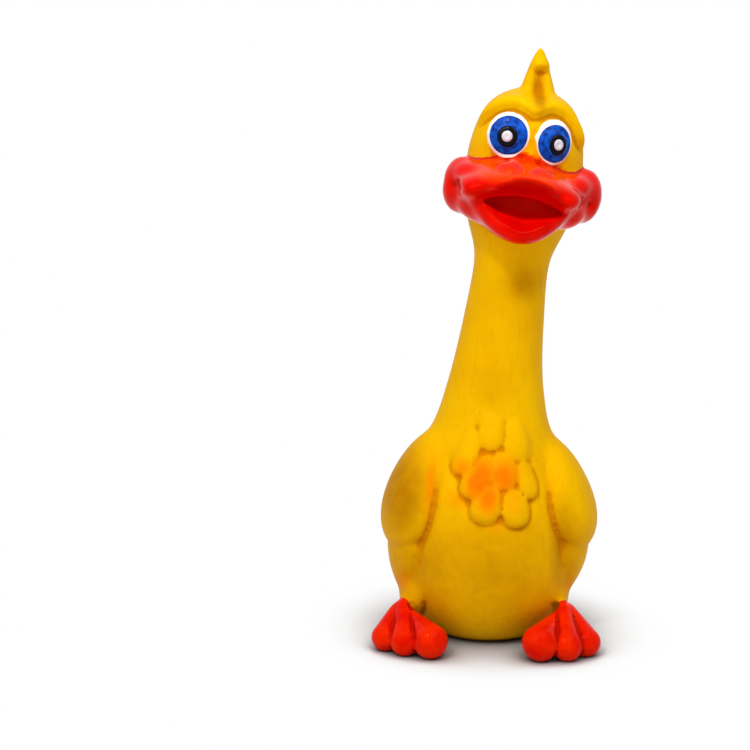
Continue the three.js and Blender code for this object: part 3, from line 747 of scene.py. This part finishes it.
# The bill is red where it is nearer than the head, and up to the line on the face
isHead = (headHeight > 0) & (headHeight < 62)
toBill = distanceTo(billTree, isHead)
toHead = distanceTo(headTree, isHead)
billForms = np.clip(toHead - toBill, outside, -outside) + 0.3
offHead = np.clip(toHead - 1, outside, -outside)
billForms = np.where(headHeight < 34, np.maximum(billForms, offHead), billForms)
topLine = np.minimum(np.interp(x, *zip(*paint["billTop"])) - seenHeight, forward - 10)
topLine = np.where(headHeight > 26, np.clip(topLine, outside, -outside), outside)
billMask = np.where(isHead, np.maximum(billForms, topLine), outside)

# The feet are red where a toe is nearer than the body
isFoot = (z < 32) & (forward > 5)
toToes = distanceTo(toeTree, isFoot)
toBody = distanceTo(bodyTree, isFoot)
footMask = spreadOut(np.where(isFoot, np.clip(toBody - toToes, -4, 4) + 0.2, -4), 2)

# The throat is painted from its edge inwards, and the inside of the lips is a deeper red
isMouth = isHead & (forward > 26)
lipMask = np.where(isMouth, paint["throatEdge"] - distanceTo(lipTree, isMouth), outside)
mouthMask = np.where(isMouth, paint["throatEdge"] - distanceTo(throatTree, isMouth), outside)

# The bill's top is sprayed orange over the red
topMask = smoothStep(30, 37, headHeight) * smoothStep(14, 24, forward) * smoothStep(26, 17, np.abs(x + 1.5))
topMask *= (billMask > -1)


# Soft touches for the orange airbrush and for the painted shade, fading out towards the back
def sprayAndShadeMask(touches):
    mask = np.zeros(count)
    for across, height, halfWidth, halfHeight, angle, strength in touches:
        turn = math.radians(angle)
        dx, dz = x - across, z - height
        u = dx * math.cos(turn) - dz * math.sin(turn)
        v = dx * math.sin(turn) + dz * math.cos(turn)
        mask = np.maximum(mask, strength * np.exp(-(u / halfWidth) ** 2 - (v / halfHeight) ** 2))
    return mask * smoothStep(-18, 2, forward)


# Painted shade darkens the grooves, softly along the flanks and not on the neck, and deepens the red in the
# painted grooves
grooveShade = creaseOf(places, normals)
redGrooveShade = grooveShade * ((billMask > 0) | (footMask > 0))
flankGrooveShade = paint["flankGrooveShade"] * spreadOut(grooveShade, 8) * smoothStep(90, 58, z) * smoothStep(24, 34, z)
neckless = np.where(headHeight < -20, smoothStep(108, 96, z), 1)
grooveShade = np.where((np.abs(x) > 20) & (z < 100), flankGrooveShade, grooveShade * neckless)

# The white of each eye is an ellipse with a small corner towards the bill's ridge
nearWhite = paint["whiteEdge"] - distanceTo(whiteTree, isHead & (forward > 8))
bulgeCorner = paint["eyeCorner"]
eyeMask = np.full(count, float(outside))
for side in sides:
    local = np.array(eyeMatrix(side).inverted())
    flatX, flatY, flatZ = (places @ local[:3, :3].T + local[:3, 3]).T
    halfWidth, halfHeight, aside, higher = eyes[side]["white"]
    reach = np.hypot((flatX - aside) / halfWidth, (flatZ - higher) / halfHeight)
    corner = np.exp(-((flatZ - bulgeCorner["up"]) / bulgeCorner["fade"]) ** 2) * smoothStep(-4, -8, flatX)
    ring = (1 - reach) * 0.5 * (halfWidth + halfHeight) + bulgeCorner["size"] * corner
    eyeMask = np.where(np.abs(flatY) < 8, np.maximum(eyeMask, np.minimum(ring, nearWhite)), eyeMask)

masks = {
    "billPaint": billMask, "footPaint": footMask, "mouthPaint": mouthMask, "lipPaint": lipMask,
    "airbrush": sprayAndShadeMask(paint["airbrush"]), "paintedShade": sprayAndShadeMask(paint["paintedShade"]), "grooveShade": grooveShade,
    "redGrooveShade": redGrooveShade, "billTopPaint": topMask, "eyePaint": eyeMask,
}
for name, values in masks.items():
    mask = latex.data.attributes.new(name, "FLOAT", "POINT")
    mask.data.foreach_set("value", values.astype(np.float32))


# Leans the neck over
def leanOver(points):
    x, y, z = points.T
    above = z - lean["footHeight"]
    along = np.clip(above, 0, lean["bendLength"])
    radius = lean["bendLength"] / lean["angle"]
    angle = along / radius
    rest = above - along
    newX = radius * (1 - np.cos(angle)) + x * np.cos(angle) + rest * np.sin(angle)
    newZ = lean["footHeight"] + radius * np.sin(angle) - x * np.sin(angle) + rest * np.cos(angle)
    return np.stack([newX, y, newZ], axis=1)


# Brings a finished piece into the frame, in metres
def bringHome(piece):
    points = leanOver(placesOf(piece.data)) + np.array(duckAxis)
    setPlaces(piece.data, points / 1000)


bringHome(latex)


# Irises, pupils and highlights are turned domes with a stepped ring, drawn for an iris of 9 mm half width
drawnHalf = 9
pupilShift = (0.2, 0, -0.5)
# radius and how far back, from the middle outwards
eyeLayers = {
    "iris": [(0, -3.9), (3.6, -3.9), (4.9, -3.75), (5.5, -3.4), (5.85, -2.7), (6.4, -2.5), (7.4, -2.3),
             (8.2, -1.6), (8.6, -0.6), (8.6, 0.6), (8.4, 1.4)],
    "pupil": [(0, -4.5), (2.8, -4.5), (4, -4.35), (4.6, -3.9), (4.6, -2.8)],
    "highlight": [(0, -4.95), (0.5, -5.0), (1.1, -5.25), (1.8, -5.2), (2.4, -4.8), (2.5, -3.9)],
}


def spinProfile(name, profile):
    startClean()
    bpy.ops.mesh.primitive_circle_add(vertices=len(profile), radius=1, fill_type="NOTHING")
    piece = bpy.context.object
    piece.name = name
    startEdit()
    bpy.ops.mesh.delete(type="VERT")
    bpy.ops.object.mode_set(mode="OBJECT")
    mesh = piece.data
    mesh.vertices.add(len(profile))
    mesh.edges.add(len(profile) - 1)
    for i, (radius, back) in enumerate(profile):
        mesh.vertices[i].co = (radius, back, 0)
        mesh.vertices[i].select = True
        if i:
            mesh.edges[i - 1].vertices = (i - 1, i)
    mesh.update()
    startEdit()
    bpy.ops.mesh.spin(steps=48, angle=math.tau, center=(0, 0, 0), axis=(0, 1, 0))
    bpy.ops.mesh.select_all(action="SELECT")
    bpy.ops.mesh.remove_doubles(threshold=0.001)
    bpy.ops.mesh.select_all(action="DESELECT")
    bpy.ops.mesh.select_non_manifold()
    bpy.ops.mesh.edge_face_add()
    endEdit()
    return piece


print("eyes")
eyePieces = []
for side in sides:
    halfWidth, halfHeight = eyes[side]["half"]
    for layer, profile in eyeLayers.items():
        piece = spinProfile(f"{layer}_painted_{side}", profile)
        applyModifier(piece, "SUBSURF", **rounded)
        piece.data.transform(Matrix.Diagonal((halfWidth / drawnHalf, 1, halfHeight / drawnHalf, 1)))
        if layer != "iris":
            piece.data.transform(Matrix.Translation(pupilShift))
        piece.data.transform(eyeMatrix(side))
        bringHome(piece)
        eyePieces.append((piece, layer, side))

print("materials")

print("materials")


def newMaterial(name):
    material = bpy.data.materials.new(name)
    material.use_nodes = True
    tree = material.node_tree
    tree.nodes.clear()
    surface = addNode(tree, "BsdfPrincipled")
    addNode(tree, "OutputMaterial", links={"Surface": surface})
    return material, tree, surface


# Natural latex rubber, slush moulded and tinted yellow, then airbrushed and brush painted in gloss red and
# white. The moulding gives a satin skin with fine hairlines from the carved master, the paint a wet gloss.
latexFinish = {
    "yellow": ("FAC000", "F0B000"),
    "hairline": "B47000",
    "glint": "FFB878",  # light that glances off the pigment's own surface is warm
    "gloss": (0.07, 0.15),
    "roughnessSpread": 0.12,
    # coats in the order they are laid: mask, how far its edge wanders, where it starts and is full, strength,
    # two mottled colours
    "coats": [
        # painted shade: ochre darkening on a wing, the flanks, belly and neck, under the chin and in the
        # tuft's scoop
        ("paintedShade", 0.2, 0.1, 1, 1, "BE7E00", "CA8A00"),
        # painted shade in the grooves, brown orange
        ("grooveShade", 0, 0.07, 0.6, 0.7, "C47200", "C47200"),
        ("airbrush", 0.06, 0.08, 0.98, 1, "FF7200", "FF8400"),
        ("billPaint", 1.2, 0.4, 0.8, 1, "EE0A00", "DE0600"),
        ("billTopPaint", 0.3, 0.2, 1.1, 0.85, "FF4400", "F43400"),
        ("footPaint", 1, 0.3, 0.7, 1, "F42600", "E40E00"),
        # painted shade: a deeper red in the grooves of the red paint
        ("redGrooveShade", 0, 0.06, 0.5, 0.75, "AC0600", "AC0600"),
        ("lipPaint", 0.8, -0.6, 1, 0.85, "D40000", "C40000"),
        ("mouthPaint", 0.8, 0, 0.8, 1, "E80400", "DC0300"),
        ("eyePaint", 0.5, 0.1, 0.4, 1, "FFFDFA", "F4F2F0"),
    ],
    "glossCoats": ("billPaint", "footPaint", "eyePaint", "mouthPaint"),
}


def makeLatex(name, shine, roughest):
    material, tree, surface = newMaterial(name)
    coords = addNode(tree, "TexCoord").outputs["Object"]
    # soft cloudiness of the tint, about 25 mm across
    cloud = addNode(tree, "TexNoise", {"Scale": 40, "Detail": 3}, {"Vector": coords})
    # hairlines run down the neck and belly, about 1.2 mm apart and 15 mm long
    stretched = addNode(tree, "Mapping", {"Scale": (1, 1, 0.07)}, {"Vector": coords})
    hairs = {"Scale": 750, "Detail": 3, "Roughness": 0.6}
    hair = addNode(tree, "TexNoise", hairs, {"Vector": stretched})
    # grain of the skin about 1 mm, brush edges about 4 mm, mottling of the paint about 9 mm
    fine = addNode(tree, "TexNoise", {"Scale": 900, "Detail": 2}, {"Vector": coords})
    wander = addNode(tree, "TexNoise", {"Scale": 260, "Detail": 2}, {"Vector": coords})
    mottle = addNode(tree, "TexNoise", {"Scale": 110, "Detail": 3}, {"Vector": coords})
    patches = addNode(tree, "MapRange", {"From Min": 0.4, "From Max": 0.65}, {"Value": mottle})
    tint = addNode(tree, "MapRange", {"From Min": 0.35, "From Max": 0.75}, {"Value": cloud})
    first, second = [hexColour(code) for code in latexFinish["yellow"]]
    colour = addNode(tree, "Mix", {"data_type": "RGBA", 6: first, 7: second}, {0: tint})
    marks = {"From Min": 0.56, "From Max": 0.74, "To Max": 0.2}
    hairMark = addNode(tree, "MapRange", marks, {"Value": hair})
    hairColour = {"data_type": "RGBA", 7: hexColour(latexFinish["hairline"])}
    colour = addNode(tree, "Mix", hairColour, {0: hairMark, 6: colour})
    painted = None
    for mask, reach, low, high, strength, firstCode, secondCode in latexFinish["coats"]:
        place = addNode(tree, "Attribute", {"attribute_name": mask}).outputs["Fac"]
        edge = addNode(tree, "Math", {"operation": "MULTIPLY_ADD", 1: reach}, {0: wander, 2: place})
        fade = {"interpolation_type": "SMOOTHSTEP", "From Min": low, "From Max": high, "To Max": strength}
        share = addNode(tree, "MapRange", fade, {"Value": edge})
        colours = {"data_type": "RGBA", 6: hexColour(firstCode), 7: hexColour(secondCode)}
        coat = addNode(tree, "Mix", colours, {0: patches})
        colour = addNode(tree, "Mix", {"data_type": "RGBA"}, {0: share, 6: colour, 7: coat})
        if mask in latexFinish["glossCoats"]:
            both = {0: share, 1: painted or share}
            painted = addNode(tree, "Math", {"operation": "MAXIMUM"}, both)
    tree.links.new(colour.outputs[2], surface.inputs["Base Color"])
    # bare latex is satin, painted latex glossy
    duller = {"To Min": roughest, "To Max": roughest + latexFinish["roughnessSpread"]}
    satin = addNode(tree, "MapRange", duller, {"Value": fine})
    glossLow, glossHigh = latexFinish["gloss"]
    gloss = addNode(tree, "MapRange", {"To Min": glossLow, "To Max": glossHigh}, {"Value": cloud})
    rough = addNode(tree, "Mix", {"data_type": "FLOAT"}, {0: painted, 2: satin, 3: gloss})
    tree.links.new(rough.outputs[0], surface.inputs["Roughness"])
    surface.inputs["IOR"].default_value = 1.5
    surface.inputs["Specular IOR Level"].default_value = shine
    surface.inputs["Specular Tint"].default_value = hexColour(latexFinish["glint"])
    # hairlines stand only on the bare latex
    bare = addNode(tree, "Math", {"operation": "SUBTRACT", 0: 1}, {1: painted})
    lines = addNode(tree, "Math", {"operation": "MULTIPLY"}, {0: hair, 1: bare})
    height = addNode(tree, "Math", {"operation": "MULTIPLY_ADD", 1: 0.1}, {0: fine, 2: lines})
    bump = addNode(tree, "Bump", {"Strength": 0.45, "Distance": 0.0006}, {"Height": height})
    tree.links.new(bump.outputs["Normal"], surface.inputs["Normal"])
    return material


# Gloss enamel dabbed on the eyes with a brush, and waxy polyethylene and film in the squeaker with a faint
# flow mottle: two close colours, with strokes or mottle of a real size that also roughen the surface a little
finishes = {
    # colours, roughness, marks a metre, lift in metres, IOR, shine
    "blue_gloss_enamel": ("045AD2", "002478", 0.05, 420, 0.0001, 1.5, 0.09),
    "black_gloss_enamel": ("020206", "06060C", 0.08, 500, 0.0001, 1.5, 0.1),
    "pale_lilac_enamel": ("E6E0EA", "CEC6D4", 0.3, 500, 0.0002, 1.5, 0.1),
    "moulded_polyethylene": ("F0EDE2", "E4E0D2", 0.42, 300, 0.0001, 1.51, 0.5),
    "polyester_reed_film": ("DCD4B4", "CFC6A2", 0.22, 300, 0.0001, 1.57, 0.5),
}
finishSpread = 0.12  # how much duller the marks are

def makeFinish(name):
    first, second, roughness, marks, lift, ior, shine = finishes[name]
    material, tree, surface = newMaterial(name)
    coords = addNode(tree, "TexCoord").outputs["Object"]
    strokes = {"Scale": marks, "Detail": 4, "Roughness": 0.6}
    stroke = addNode(tree, "TexNoise", strokes, {"Vector": coords})
    share = addNode(tree, "MapRange", {"From Min": 0.38, "From Max": 0.66}, {"Value": stroke})
    colours = {"data_type": "RGBA", 6: hexColour(first), 7: hexColour(second)}
    colour = addNode(tree, "Mix", colours, {0: share})
    duller = {"To Min": roughness, "To Max": roughness + finishSpread}
    rough = addNode(tree, "MapRange", duller, {"Value": stroke})
    bump = addNode(tree, "Bump", {"Strength": 0.25, "Distance": lift}, {"Height": stroke})
    tree.links.new(colour.outputs[2], surface.inputs["Base Color"])
    tree.links.new(rough.outputs["Result"], surface.inputs["Roughness"])
    tree.links.new(bump.outputs["Normal"], surface.inputs["Normal"])
    surface.inputs["IOR"].default_value = ior
    surface.inputs["Specular IOR Level"].default_value = shine
    return material


latex.data.materials.clear()
latex.data.materials.append(makeLatex("natural_latex", 0.05, 0.46))
latex.data.materials.append(makeLatex("gloss_latex_paint", 0.06, 0.4))
isPainted = (billMask > 0) | (footMask > 0) | (eyeMask > 0)
for face in latex.data.polygons:
    face.material_index = int(any(isPainted[i] for i in face.vertices))
enamels = {"iris": makeFinish("blue_gloss_enamel"), "pupil": makeFinish("black_gloss_enamel"),
           "highlight": makeFinish("pale_lilac_enamel")}
for piece, layer, side in eyePieces:
    piece.data.materials.clear()
    piece.data.materials.append(enamels[layer])
plastic = makeFinish("moulded_polyethylene")
film = makeFinish("polyester_reed_film")
for name in ("squeaker_bush", "reed_plate", "reed_wedge", "squeaker_cap", "squeaker_reed"):
    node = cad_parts[name]
    node.data.materials.clear()
    node.data.materials.append(film if name == "squeaker_reed" else plastic)

# What each piece stands for
print("riding")
pick(latex)
bpy.ops.object.shade_smooth()
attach(latex, "latex_duck")
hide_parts("torso_skin", "neck_skin", "head_skin", "wing_left", "wing_right", "thigh_left",
            "thigh_right", "tail", "brow_ridge", "tuft", *[f"chest_feather_{i}" for i in range(1, 9)],
            "bill_upper", "bill_lower", "cheek_left", "cheek_right", "mouth_lining", "foot_left",
            "foot_right", "eye_white_left", "eye_white_right")
for piece, layer, side in eyePieces:
    pick(piece)
    bpy.ops.object.shade_smooth()
    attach(piece, "latex_duck")
    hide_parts(f"{layer}_{side}")

# Floor, light and camera
print("studio")
studio = {
    "floorRadius": 30,
    "paper": "FAFAFA",
    "aimOffset": (-0.051, 0, 0.1159), "distance": 0.8, "elevation": 12, "lens": 86.4, "sensor": 36,
    # name, direction from the duck (azimuth from the front to its left, elevation), distance, size, watts
    "lamps": [("key", (36, 50), 0.7, 0.45, 1.75), ("fill", (-35, 42), 0.62, 0.35, 1.2),
              ("top", (10, 80), 0.9, 0.8, 1.3), ("spark", (-26, 50), 1.0, 0.045, 1.8)],
    "worldStrength": 0.27,
    "shadowReach": 0.06,  # how far the contact shadow spreads, in metres
    # openness of the paper at which it starts to fade, and has faded, into the white ground
    "clearFrom": 0.55, "clearTo": 0.9,
}


# 1 for what the camera sees, straight or in a reflection, and 0 for light that bounces off dull surfaces
def seenShare(tree):
    rays = addNode(tree, "LightPath")
    seen = rays.outputs["Is Camera Ray"]
    for kind in ("Is Glossy Ray", "Is Transmission Ray"):
        seen = addNode(tree, "Math", {"operation": "MAXIMUM"}, {0: seen, 1: rays.outputs[kind]})
    return seen


def outwardsAt(azimuth, elevation):
    a, e = math.radians(azimuth), math.radians(elevation)
    return Vector((math.sin(a) * math.cos(e), -math.cos(a) * math.cos(e), math.sin(e)))


def addToScene(name, data, place, turn):
    thing = bpy.data.objects.new(name, data)
    bpy.context.scene.collection.objects.link(thing)
    thing.location = place
    thing.rotation_euler = turn.to_euler()
    return thing


startClean()
bpy.ops.mesh.primitive_circle_add(vertices=96, radius=studio["floorRadius"], fill_type="NGON")
floor = bpy.context.object
floor.name = "floor"
material, tree, surface = newMaterial("matt_white_paper")
# The paper's colour is darkened near the duck by ambient occlusion: a painted contact shadow
reach = {"samples": 16, "Color": hexColour(studio["paper"]), "Distance": studio["shadowReach"]}
contact = addNode(tree, "AmbientOcclusion", reach)
tree.links.new(contact.outputs["Color"], surface.inputs["Base Color"])
surface.inputs["Roughness"].default_value = 0.9
opening = {"interpolation_type": "SMOOTHSTEP", "From Min": studio["clearFrom"], "From Max": studio["clearTo"]}
fade = addNode(tree, "MapRange", opening, {"Value": contact.outputs["AO"]})
clear = addNode(tree, "Math", {"operation": "MULTIPLY"}, {0: seenShare(tree), 1: fade})
glow = addNode(tree, "Emission", {"Color": (1, 1, 1, 1), "Strength": 1})
mixed = addNode(tree, "MixShader", links={0: clear, 1: surface, 2: glow})
output = next(node for node in tree.nodes if node.bl_idname == "ShaderNodeOutputMaterial")
tree.links.new(mixed.outputs["Shader"], output.inputs["Surface"])
floor.data.materials.append(material)

aim = duckAxis / 1000 + Vector(studio["aimOffset"])
for name, direction, distance, size, watts in studio["lamps"]:
    lamp = bpy.data.lights.new(name, "AREA")
    lamp.shape = "DISK"
    lamp.size = size
    lamp.energy = watts
    back = outwardsAt(*direction)
    addToScene(name, lamp, aim + back * distance, back.to_track_quat("Z", "Y"))

world = bpy.data.worlds.new("studio")
bpy.context.scene.world = world
world.use_nodes = True
tree = world.node_tree
tree.nodes.clear()
levels = {"data_type": "FLOAT", 2: studio["worldStrength"], 3: 1}
strength = addNode(tree, "Mix", levels, {0: seenShare(tree)})
background = addNode(tree, "Background", {"Color": (1, 1, 1, 1)}, {"Strength": strength})
addNode(tree, "OutputWorld", links={"Surface": background})

camera = bpy.data.cameras.new("camera")
camera.lens = studio["lens"]
camera.sensor_width = studio["sensor"]
back = outwardsAt(0, studio["elevation"])
place = aim + back * studio["distance"]
bpy.context.scene.camera = addToScene("camera", camera, place, (-back).to_track_quat("-Z", "Y"))
bpy.context.scene.view_settings.view_transform = "Standard"

startClean()
